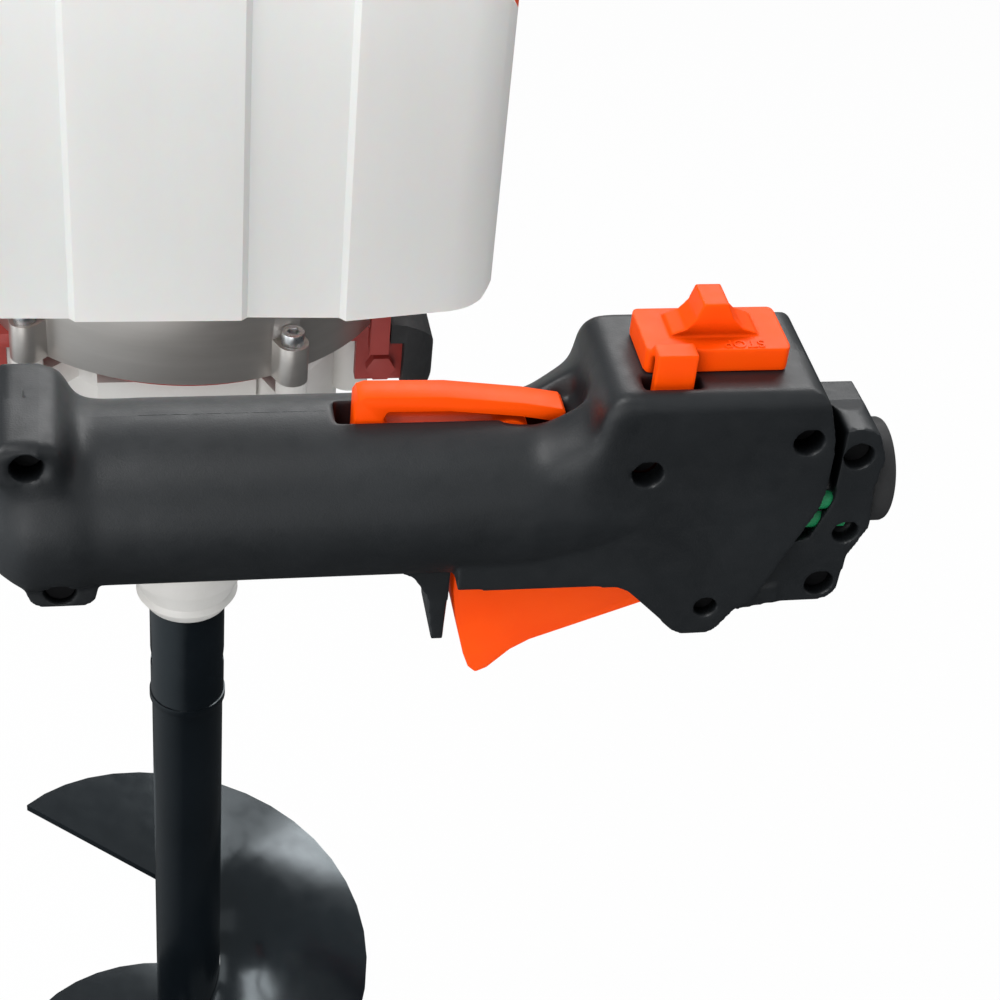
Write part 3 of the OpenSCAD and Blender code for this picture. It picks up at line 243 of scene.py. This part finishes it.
black_oxide = surface(
    "black_oxide",
    two_tone((0.0035, 0.0035, 0.004), (0.006, 0.006, 0.0065)),
    (0.3, 0.42),
    patch=90,
    grain=((1800.0, 0.01),),
    Specular_IOR_Level=0.3,
)
white_casting = surface(
    "white_casting",
    two_tone((0.6, 0.585, 0.555), (0.67, 0.655, 0.63)),
    (0.4, 0.55),
    patch=30,
    grain=((900.0, 0.04), (220.0, 0.03)),
)
bit_black = surface(
    "bit_black",
    two_tone((0.0022, 0.0038, 0.0055), (0.004, 0.0062, 0.0085)),
    (0.15, 0.22),
    patch=22,
    grain=((140.0, 0.006),),
    Specular_Tint=(0.85, 0.95, 1.0, 1.0),
)
frame_black = surface(
    "frame_black",
    two_tone((0.012, 0.012, 0.013), (0.018, 0.018, 0.019)),
    (0.3, 0.42),
    patch=40,
    grain=((1400.0, 0.03),),
)
beam_red = surface(
    "beam_red",
    two_tone((0.3, 0.03, 0.025), (0.38, 0.05, 0.04)),
    (0.4, 0.55),
    patch=30,
    grain=((900.0, 0.03),),
)
zinc = surface(
    "zinc",
    two_tone((0.62, 0.63, 0.66), (0.74, 0.74, 0.74)),
    (0.24, 0.38),
    patch=180,
    grain=((2500.0, 0.01),),
    metallic=1.0,
)
tool_steel = surface(
    "tool_steel",
    two_tone((0.33, 0.33, 0.34), (0.45, 0.45, 0.46)),
    (0.26, 0.42),
    patch=60,
    grain=((1800.0, 0.012),),
    metallic=1.0,
)
black_plastic = surface(
    "black_plastic",
    two_tone((0.014, 0.014, 0.015), (0.021, 0.021, 0.022)),
    (0.42, 0.56),
    patch=40,
    grain=((2200.0, 0.03),),
)
black_rubber = surface(
    "black_rubber",
    two_tone((0.016, 0.016, 0.017), (0.026, 0.026, 0.027)),
    (0.62, 0.78),
    patch=40,
    grain=((1800.0, 0.03),),
)
reel_plastic = surface(
    "reel_plastic",
    two_tone((0.6, 0.6, 0.56), (0.68, 0.68, 0.64)),
    (0.4, 0.5),
    grain=((1200.0, 0.02),),
)
clear_bulb = surface(
    "clear_bulb",
    two_tone((0.82, 0.84, 0.84), (0.88, 0.9, 0.9)),
    (0.1, 0.18),
    grain=((600.0, 0.01),),
    Transmission_Weight=0.85,
    IOR=1.42,
)
wire_green = surface(
    "wire_green",
    two_tone((0.01, 0.2, 0.07), (0.015, 0.26, 0.1)),
    (0.3, 0.4),
    patch=80,
    grain=((900.0, 0.01),),
)

SLOT_FINISH = {
    "wire_green": wire_green,
    "handle_plastic": handle_plastic,
    "signal_orange": signal_orange,
    "hood_orange": hood_orange,
    "tank_plastic": tank_plastic,
    "cast_aluminium": cast_aluminium,
    "white_casting": white_casting,
    "bit_black": bit_black,
    "frame_black": frame_black,
    "beam_red": beam_red,
    "zinc": zinc,
    "tool_steel": tool_steel,
    "black_plastic": black_plastic,
    "black_rubber": black_rubber,
    "reel_plastic": reel_plastic,
    "clear_bulb": clear_bulb,
}
NODE_FINISH = {"clutch_case": turned_case, "handle_screws": black_oxide, "lever_pins": black_oxide}


# edges of the CAD pieces

WELD_M = 4e-6
SMOOTH_DEG, NOSE_SMOOTH_DEG = 32, 50
FLAT_DEG, SHARP_DEG = 1, 40
ROUND_SEGMENTS = 2


def geometry_group(name):
    """A node group from geometry to geometry, with its way in and its way out."""
    group = bpy.data.node_groups.new(name, "GeometryNodeTree")
    for way in ("INPUT", "OUTPUT"):
        group.interface.new_socket("Geometry", in_out=way, socket_type="NodeSocketGeometry")
    source = group.nodes.new("NodeGroupInput").outputs[0]
    out = group.nodes.new("NodeGroupOutput").inputs[0]
    return group, source, out


def smooth_by_angle(limit):
    """A geometry node group that shades smooth across edges flatter than the limit."""
    group, source, out = geometry_group(f"smooth_{limit}")
    faces = group.nodes.new("GeometryNodeSetShadeSmooth")
    faces.domain = "FACE"
    edges = group.nodes.new("GeometryNodeSetShadeSmooth")
    edges.domain = "EDGE"
    angle = group.nodes.new("GeometryNodeInputMeshEdgeAngle")
    flat = group.nodes.new("FunctionNodeCompare")
    flat.operation = "LESS_THAN"
    flat.inputs["B"].default_value = math.radians(limit)
    group.links.new(source, faces.inputs["Geometry"])
    group.links.new(faces.outputs["Geometry"], edges.inputs["Geometry"])
    group.links.new(angle.outputs["Unsigned Angle"], flat.inputs["A"])
    group.links.new(flat.outputs["Result"], edges.inputs["Shade Smooth"])
    group.links.new(edges.outputs["Geometry"], out)
    return group


SMOOTH, NOSE_SMOOTH = smooth_by_angle(SMOOTH_DEG), smooth_by_angle(NOSE_SMOOTH_DEG)


def weld(obj):
    made = obj.modifiers.new("weld", "WELD")
    made.merge_threshold = WELD_M


def shade(obj):
    """Flat edges shade smooth, and on the gearbox the blunt edges of its nose too."""
    made = obj.modifiers.new("shade", "NODES")
    made.node_group = NOSE_SMOOTH if obj.name == "gearbox_housing" else SMOOTH


def plain_edges(obj):
    weld(obj)
    shade(obj)


def rounded_edges(obj, width):
    """Sharp edges get a small round of a width in mm."""
    weld(obj)
    flat = obj.modifiers.new("flat", "DECIMATE")
    flat.decimate_type = "DISSOLVE"
    flat.angle_limit = math.radians(FLAT_DEG)
    made = obj.modifiers.new("round", "BEVEL")
    made.width = width * MM
    made.segments = ROUND_SEGMENTS
    made.limit_method = "ANGLE"
    made.angle_limit = math.radians(SHARP_DEG)
    made.use_clamp_overlap = True
    made.miter_outer = "MITER_ARC"
    shade(obj)


# shapes that are pushed or added by geometry nodes, in mm


class Push:
    """A node group on a piece that moves its vertices, with sums on their coordinates."""

    def __init__(self, obj, name):
        self.obj = obj
        self.group, self.source, self.out = geometry_group(f"{name}_{obj.name}")
        self.place = self.node("GeometryNodeSetPosition")
        self.where = self.node("GeometryNodeInputPosition").outputs[0]
        parts = self.node("ShaderNodeSeparateXYZ")
        self.link(self.source, self.place.inputs["Geometry"])
        self.link(self.place.outputs["Geometry"], self.out)
        self.link(self.where, parts.inputs[0])
        self.x, self.y, self.z = parts.outputs

    def node(self, kind):
        return self.group.nodes.new(kind)

    def link(self, a, b):
        self.group.links.new(a, b)

    def sum(self, operation, a, b=0):
        """One sum on sockets or numbers."""
        made = self.node("ShaderNodeMath")
        made.operation = operation
        for socket, value in zip(made.inputs, (a, b)):
            if isinstance(value, (int, float)):
                socket.default_value = value
            else:
                self.link(value, socket)
        return made.outputs[0]

    def times(self, a, b):
        return self.sum("MULTIPLY", a, b)

    def plus(self, a, b):
        return self.sum("ADD", a, b)

    def held(self, value, low, high):
        """The value, kept between two limits."""
        return self.sum("MINIMUM", self.sum("MAXIMUM", value, low * MM), high * MM)

    def ramp(self, value, start, end):
        """0 before the start, 1 after the end."""
        made = self.node("ShaderNodeMapRange")
        made.inputs["From Min"].default_value = start * MM
        made.inputs["From Max"].default_value = end * MM
        self.link(value, made.inputs["Value"])
        return made.outputs["Result"]

    def band(self, value, low, high, fade):
        """1 between two limits, falling to 0 outside them."""
        return self.times(self.ramp(value, low - fade, low), self.ramp(value, high + fade, high))

    def only(self, selection):
        self.link(selection, self.place.inputs["Selection"])

    def to(self, x, y, z):
        """The vertices go to these coordinates."""
        made = self.node("ShaderNodeCombineXYZ")
        for socket, value in zip(made.inputs, (x, y, z)):
            self.link(value, socket)
        self.link(made.outputs[0], self.place.inputs["Position"])

    def join(self, mesh, turn, shift):
        """A mesh, turned and shifted, is added to the piece, and it is what the group moves."""
        laid = self.node("GeometryNodeTransform")
        laid.inputs["Rotation"].default_value = turn
        laid.inputs["Translation"].default_value = Vector(shift) * MM
        both = self.node("GeometryNodeJoinGeometry")
        self.link(mesh, laid.inputs["Geometry"])
        self.link(laid.outputs["Geometry"], self.place.inputs["Geometry"])
        self.link(self.place.outputs["Geometry"], both.inputs[0])
        self.link(self.source, both.inputs[0])
        self.link(both.outputs["Geometry"], self.out)

    def apply(self):
        self.obj.modifiers.new(self.group.name, "NODES").node_group = self.group


def seam_past(obj, seam, side):
    """The face at the seam goes past it, so that the fillets miss the seam."""
    reach, epsilon = 5, 0.08
    push = Push(obj, "seam_past")
    near = push.node("FunctionNodeCompare")
    near.operation = "EQUAL"
    near.inputs["B"].default_value = seam
    near.inputs["Epsilon"].default_value = epsilon * MM
    push.link(push.y, near.inputs["A"])
    push.only(near.outputs["Result"])
    push.place.inputs["Offset"].default_value = (0, side * reach * MM, 0)
    push.apply()


def seam_back(obj, seam, side):
    """What went past the seam goes back to it."""
    push = Push(obj, "seam_back")
    push.to(push.x, push.sum("MINIMUM" if side > 0 else "MAXIMUM", push.y, seam), push.z)
    push.apply()


def grip_flare(obj, side):
    """A flare that leads the grip into the switch block, clear of the lever between its halves."""
    small_r, large_r, length, middle_x, low_z, high_z = 18.6, 25.5, 11, 58.8, 3, 40
    inner, outer = 4.8, 15.6
    limits = sorted((GRIP_Y - side * inner, GRIP_Y - side * outer))
    push = Push(obj, "grip_flare")
    cone = push.node("GeometryNodeMeshCone")
    cone.inputs["Vertices"].default_value = 96
    cone.inputs["Radius Bottom"].default_value = small_r * MM
    cone.inputs["Radius Top"].default_value = large_r * MM
    cone.inputs["Depth"].default_value = length * MM
    push.join(cone.outputs["Mesh"], (0, math.pi / 2, 0), (middle_x, GRIP_Y, 0))
    push.to(push.x, push.held(push.y, *limits), push.held(push.z, low_z, high_z))
    push.apply()


def clamp_web(obj, side):
    """A web under the cable clamp that closes the foot of the groove between block and clamp."""
    length, width, height, tilt = 9.6, 19, 4.8, -0.2
    middle_x, from_seam, middle_z = 110.4, 5, -23.4
    push = Push(obj, "clamp_web")
    web = push.node("GeometryNodeMeshCube")
    web.inputs["Size"].default_value = Vector((length, width, height)) * MM
    push.join(web.outputs["Mesh"], (0, tilt, 0), (middle_x, GRIP_Y - side * from_seam, middle_z))
    push.apply()


def soft_runs(obj):
    """The flare, the clamp collar and the foot of its boss run softly into grip and block."""
    passes = 60
    push = Push(obj, "soft_runs")
    flare = push.times(push.band(push.x, 59, 71, 7), push.band(push.z, 9, 26, 6))
    collar = push.times(push.band(push.x, -60, -24, 5), push.band(push.z, -9, 11, 4))
    foot = push.times(push.band(push.x, -36.5, -24, 3), push.band(push.z, 10, 30, 4))
    blur = push.node("GeometryNodeBlurAttribute")
    blur.data_type = "FLOAT_VECTOR"
    blur.inputs["Iterations"].default_value = passes
    push.link(push.where, next(s for s in blur.inputs if s.name == "Value" and s.enabled))
    push.link(push.sum("MAXIMUM", flare, push.sum("MAXIMUM", collar, foot)), blur.inputs["Weight"])
    push.link(next(s for s in blur.outputs if s.enabled), push.place.inputs["Position"])
    push.apply()


def slim_clamp(obj, seam, side):
    """The top of the cable clamp falls away to its far side, which is slimmer than the block."""
    from_x, from_z, far_y, top_z = 121.2, 6, -230.5, 18.6
    slope = 0.34 if side > 0 else -0.14
    push = Push(obj, "slim_clamp")
    past_x = push.sum("GREATER_THAN", push.x, from_x * MM)
    push.only(push.times(past_x, push.sum("GREATER_THAN", push.z, from_z * MM)))
    from_seam = push.times(push.sum("SUBTRACT", seam, push.y), side)
    rise = push.times(push.sum("MAXIMUM", from_seam, 0), slope)
    y = push.sum("MINIMUM", push.y, far_y * MM)
    z = push.sum("MINIMUM", push.z, push.plus(rise, top_z * MM))
    push.to(push.x, y, z)
    push.apply()


def fuller_tank(obj):
    """The front corner of the tank away from the operator stands a little fuller."""
    fuller = 3
    push = Push(obj, "fuller_tank")
    share = push.times(push.ramp(push.x, 58, 70), push.ramp(push.y, -70, -85))
    push.to(push.plus(push.x, push.times(share, fuller * MM)), push.y, push.z)
    push.apply()


def rounder_nose(obj):
    """The nose of the gearbox ends in a rounder edge."""
    bore_r, foot_h, edge_h = 14, 0.3, 1.5
    foot_wider, edge_wider, foot_down, edge_up = 0.045, 0.175, 2.6, 1.6
    end = min(v.co.z for v in obj.data.vertices)
    push = Push(obj, "rounder_nose")
    x, y, z = push.x, push.y, push.z
    from_axis = push.sum("SQRT", push.plus(push.times(x, x), push.times(y, y)))
    outside = push.sum("GREATER_THAN", from_axis, bore_r * MM)
    foot = push.sum("LESS_THAN", z, end + foot_h * MM)
    edge = push.sum("SUBTRACT", push.sum("LESS_THAN", z, end + edge_h * MM), foot)
    wider = push.plus(push.times(foot, foot_wider), push.times(edge, edge_wider))
    size = push.plus(push.times(wider, outside), 1)
    lift = push.sum("SUBTRACT", push.times(edge, edge_up * MM), push.times(foot, foot_down * MM))
    push.to(push.times(x, size), push.times(y, size), push.plus(z, push.times(lift, outside)))
    push.apply()


# soft fillets of mouldings

KEEP_FACES = 0.3
HALF_VOXEL, HALF_PASSES = 0.5, 6
SWITCH_VOXEL, SWITCH_PASSES = 0.25, 8


def voxels(obj, size):
    grid = obj.modifiers.new("grid", "REMESH")
    grid.mode = "VOXEL"
    grid.voxel_size = size * MM


def softer(obj, passes):
    soft = obj.modifiers.new("soft", "SMOOTH")
    soft.factor = 0.5
    soft.iterations = passes


def fewer_faces(obj):
    fewer = obj.modifiers.new("fewer", "DECIMATE")
    fewer.ratio = KEEP_FACES


def soft_switch(obj):
    """All edges and corners of the stop switch get a soft fillet."""
    weld(obj)
    voxels(obj, SWITCH_VOXEL)
    softer(obj, SWITCH_PASSES)
    fewer_faces(obj)
    shade(obj)


def soft_half(obj, side):
    """All edges and corners of a handle half get a soft fillet, all but those at its seam."""
    seam = max(side * v.co.y for v in obj.data.vertices) * side
    weld(obj)
    seam_past(obj, seam, side)
    grip_flare(obj, side)
    clamp_web(obj, side)
    voxels(obj, HALF_VOXEL)
    slim_clamp(obj, seam, side)
    softer(obj, HALF_PASSES)
    soft_runs(obj)
    seam_back(obj, seam, side)
    fewer_faces(obj)
    shade(obj)


# finish and edges of each CAD piece

HALF_SIDE = {"handle_front": 1, "handle_rear": -1}
ROUND_MM = {
    "safety_lever": 0.5,
    "throttle_trigger": 0.8,
    "clutch_case": 0.8,
    "fuel_tank": 1.2,
    "carrier_beam": 0.8,
    "beam_cap": 1.5,
    "gearbox_housing": 0.8,
    "gearbox_lid": 0.8,
    "case_bolts": 0.4,
    "engine_hood": 1.2,
    "starter_housing": 0.8,
    "starter_grip": 1.0,
    "filter_cover": 1.0,
    "filter_base": 0.8,
    "muffler": 0.8,
    "fan_cover": 0.8,
    "tank_cap": 0.6,
    "cable_gland": 0.6,
    "left_grip": 0.6,
    "auger_collar": 0.4,
    "frame_bolts": 0.4,
    "crankcase": 0.8,
}

record_slots = {part["node"]: part["material_slot"] for part in frame["record"]["subparts"]}
fuller_tank(nodes["fuel_tank"])
rounder_nose(nodes["gearbox_housing"])
for name, obj in nodes.items():
    obj.data.materials.clear()
    obj.data.materials.append(NODE_FINISH.get(name, SLOT_FINISH[record_slots[name]]))
    if name in HALF_SIDE:
        soft_half(obj, HALF_SIDE[name])
    elif name == "stop_switch":
        soft_switch(obj)
    elif name in ROUND_MM:
        rounded_edges(obj, ROUND_MM[name])
    else:
        plain_edges(obj)


# raised word on the stop switch, read from the engine side, in mm

WORD_HEIGHT, WORD_DEPTH = 3.6, 0.25
WORD_X, WORD_Y = 100.0, -244.9
KNOB_HEIGHT = 7.6


def raised_word(name, word, height, place, depth):
    """Raised letters lying on a level face, turned half round."""
    data = bpy.data.curves.new(name + "_curve", "FONT")
    data.body = word
    data.size = height * MM
    data.extrude = depth * MM
    data.align_x, data.align_y = "CENTER", "CENTER"
    data.resolution_u = 4
    source = bpy.data.objects.new(name + "_source", data)
    bpy.context.collection.objects.link(source)
    bpy.context.view_layer.update()
    mesh = bpy.data.meshes.new_from_object(source)
    bpy.data.objects.remove(source)
    mesh.transform(Matrix.Translation(Vector(place) * MM) @ Matrix.Rotation(math.pi, 4, "Z"))
    made = bpy.data.objects.new(name, mesh)
    bpy.context.collection.objects.link(made)
    made.data.materials.append(signal_orange)
    weld(made)
    return made


switch = nodes["stop_switch"]
plate_top = max((switch.matrix_world @ v.co).z for v in switch.data.vertices) / MM - KNOB_HEIGHT
stop_word = raised_word("stop_word", "STOP", WORD_HEIGHT, (WORD_X, WORD_Y, plate_top), WORD_DEPTH)
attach(stop_word, "stop_switch")


# studio, in metres

FLOOR_GAP, FLOOR_HALF = 0.002, 40.0
WHITE = (1, 1, 1, 1)


def floor_material():
    """White paper to the camera, which keeps a little shadow; in gloss, dark with a paler left."""
    mat = bpy.data.materials.new("studio_floor")
    mat.use_nodes = True
    tree = mat.node_tree
    tree.nodes.clear()
    paper = add(tree, "ShaderNodeBsdfDiffuse", {"Color": (0.9, 0.9, 0.9, 1)})
    glow = add(tree, "ShaderNodeEmission", {"Color": WHITE, "Strength": 1.0})
    mirrored = add(tree, "ShaderNodeEmission", {"Color": (0.9, 0.96, 1, 1)})
    ground = add(tree, "ShaderNodeNewGeometry")
    across = add(tree, "ShaderNodeSeparateXYZ")
    paler = add(
        tree,
        "ShaderNodeMapRange",
        {"From Min": -1.6, "From Max": -0.2, "To Min": 0.75, "To Max": 0.06},
    )
    path = add(tree, "ShaderNodeLightPath")
    direct = add(tree, "ShaderNodeMath", operation="MAXIMUM")
    share = add(tree, "ShaderNodeMath", {1: 0.95}, operation="MULTIPLY")
    seen = add(tree, "ShaderNodeMixShader")
    either = add(tree, "ShaderNodeMixShader")
    out = add(tree, "ShaderNodeOutputMaterial")
    for a, b in (
        (ground.outputs["Position"], across.inputs[0]),
        (across.outputs["X"], paler.inputs["Value"]),
        (paler.outputs["Result"], mirrored.inputs["Strength"]),
        (path.outputs["Is Camera Ray"], direct.inputs[0]),
        (path.outputs["Is Transmission Ray"], direct.inputs[1]),
        (direct.outputs[0], share.inputs[0]),
        (share.outputs[0], seen.inputs["Fac"]),
        (paper.outputs[0], seen.inputs[1]),
        (glow.outputs[0], seen.inputs[2]),
        (path.outputs["Is Glossy Ray"], either.inputs["Fac"]),
        (seen.outputs[0], either.inputs[1]),
        (mirrored.outputs[0], either.inputs[2]),
        (either.outputs[0], out.inputs["Surface"]),
    ):
        tree.links.new(a, b)
    return mat


def studio_floor(z):
    mesh = bpy.data.meshes.new("floor")
    corners = ((-1, -1), (1, -1), (1, 1), (-1, 1))
    mesh.from_pydata([(FLOOR_HALF * x, FLOOR_HALF * y, z) for x, y in corners], [], [(0, 1, 2, 3)])
    mesh.materials.append(floor_material())
    made = bpy.data.objects.new("floor", mesh)
    bpy.context.collection.objects.link(made)
    return made


def studio_world():
    """Soft light all round, and plain white to the camera."""
    world = bpy.data.worlds.new("studio")
    world.use_nodes = True
    tree = world.node_tree
    tree.nodes.clear()
    soft = add(tree, "ShaderNodeBackground", {"Color": (0.95, 0.98, 1.0, 1), "Strength": 0.4})
    white = add(tree, "ShaderNodeBackground", {"Color": WHITE, "Strength": 1.0})
    path = add(tree, "ShaderNodeLightPath")
    either = add(tree, "ShaderNodeMixShader")
    out = add(tree, "ShaderNodeOutputWorld")
    tree.links.new(path.outputs["Is Camera Ray"], either.inputs["Fac"])
    tree.links.new(soft.outputs[0], either.inputs[1])
    tree.links.new(white.outputs[0], either.inputs[2])
    tree.links.new(either.outputs[0], out.inputs["Surface"])
    return world


def lamp(name, place, aim, size, watts):
    data = bpy.data.lights.new(name, "AREA")
    data.shape = "RECTANGLE"
    data.size, data.size_y = size
    data.energy = watts
    obj = bpy.data.objects.new(name, data)
    obj.location = place
    obj.rotation_mode = "QUATERNION"
    obj.rotation_quaternion = (Vector(aim) - Vector(place)).to_track_quat("-Z", "Y")
    bpy.context.collection.objects.link(obj)


def photo_camera():
    """The camera that was fitted to the photo: place, right and viewing direction."""
    data = bpy.data.cameras.new("camera")
    data.sensor_width = 36
    data.lens = 75.6
    data.clip_start, data.clip_end = 0.05, 90
    made = bpy.data.objects.new("camera", data)
    bpy.context.collection.objects.link(made)
    place = Vector((-26.7, -581.3, 267.1)) * MM
    right = Vector((0.9826, -0.1635, 0.0884)).normalized()
    ahead = Vector((0.1831, 0.7691, -0.6124))
    ahead = (ahead - right * ahead.dot(right)).normalized()
    above = right.cross(ahead)
    rows = [(right[i], above[i], -ahead[i], place[i]) for i in range(3)]
    made.matrix_world = Matrix(rows + [(0, 0, 0, 1)])
    return made


studio_floor(cad_box[0][2] - FLOOR_GAP)
bpy.context.scene.world = studio_world()
lamp("key_light", (-1.0, -1.0, 1.8), (0, -0.15, -0.1), (1.4, 1.0), 32)
lamp("front_light", (-0.9, -2.1, 0.0), (0, -0.1, -0.1), (1.8, 1.4), 14)
lamp("side_light", (-2.0, -0.7, -0.2), (0, 0, -0.1), (0.7, 1.0), 5)
lamp("fill_light", (1.8, -1.4, 0.6), (0, -0.1, -0.1), (1.2, 1.4), 2)
lamp("back_light", (0.45, 1.9, 1.5), (0, -0.1, 0), (1.6, 1.0), 26)
lamp("rim_light", (0.92, 0.77, 1.5), (0, 0, -0.4), (0.5, 0.5), 10)
bpy.context.scene.camera = photo_camera()
bpy.context.scene.view_settings.view_transform = "Standard"
